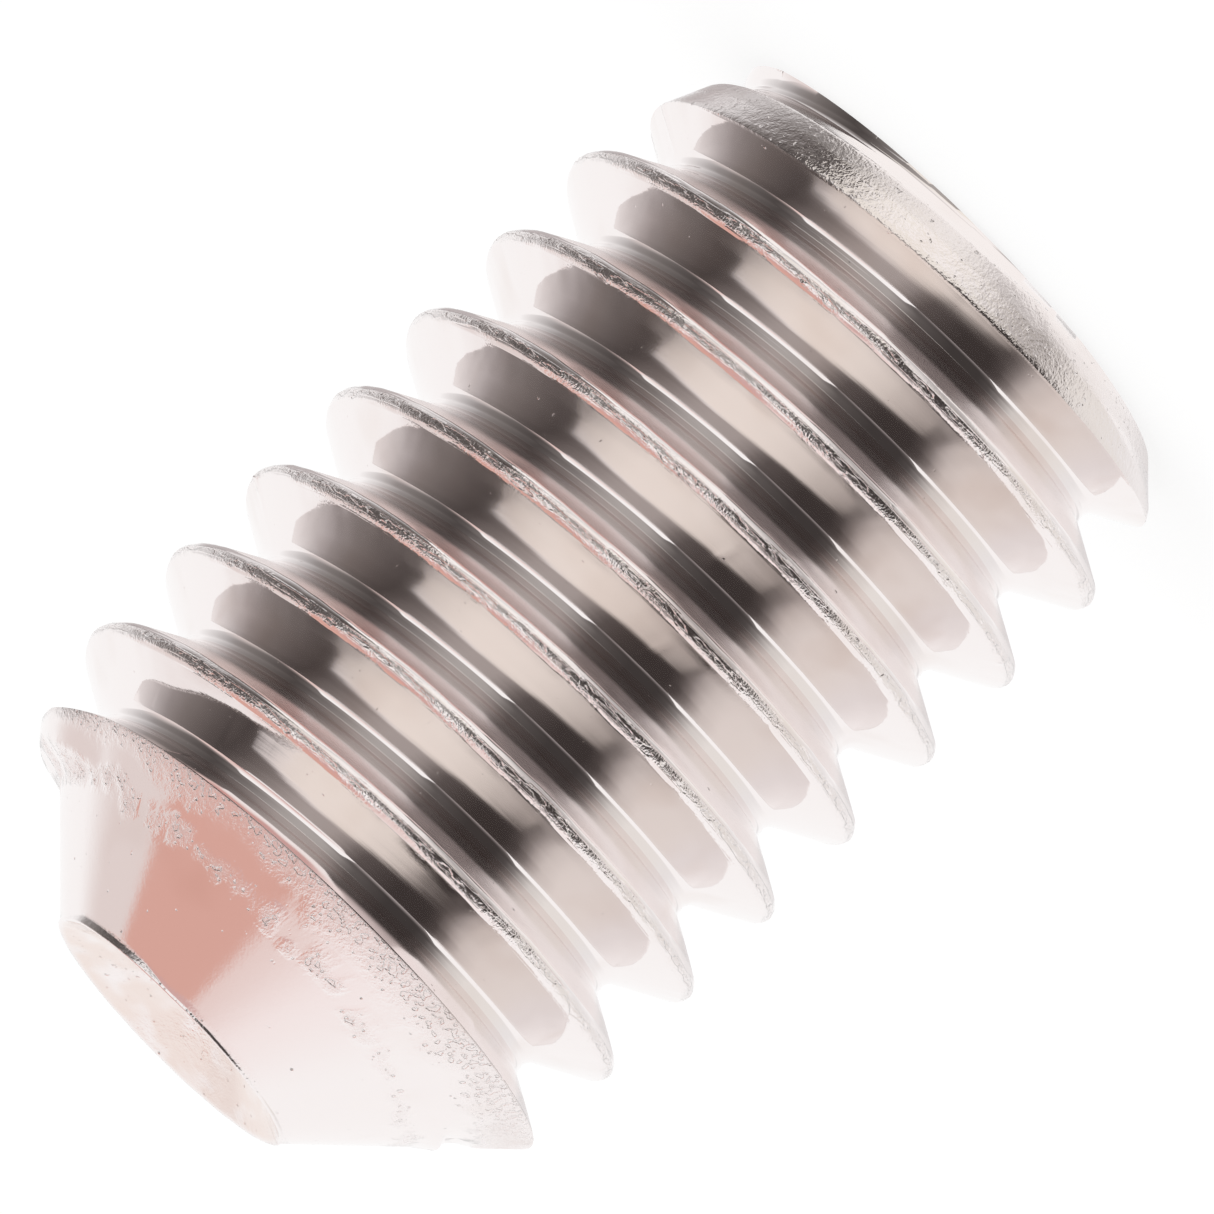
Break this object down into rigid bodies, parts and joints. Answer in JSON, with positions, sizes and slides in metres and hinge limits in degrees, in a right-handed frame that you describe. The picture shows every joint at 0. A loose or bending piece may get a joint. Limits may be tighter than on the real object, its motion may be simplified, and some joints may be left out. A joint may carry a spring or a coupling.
{
  "type": "cup point set screw",
  "caption": "Headless metric set screw: fully threaded shank with a hexagon socket in its flat, chamfered end and a hollow cup point on a cone at the other.",
  "frame": {"origin": "centre of the flat face of the socket end, on which the screw stands", "axes": "+Z along the screw's axis from the socket end to the cup point; X and Y across it, with two flats of the socket square to Y"},
  "size_m": [0.006, 0.006, 0.0097],
  "materials": {
    "stainless_steel": "bright rolled and turned, with rough crests"
  },
  "bodies": {
    "root": {"set_screw": "stainless_steel"}
  },
  "joints": []
}
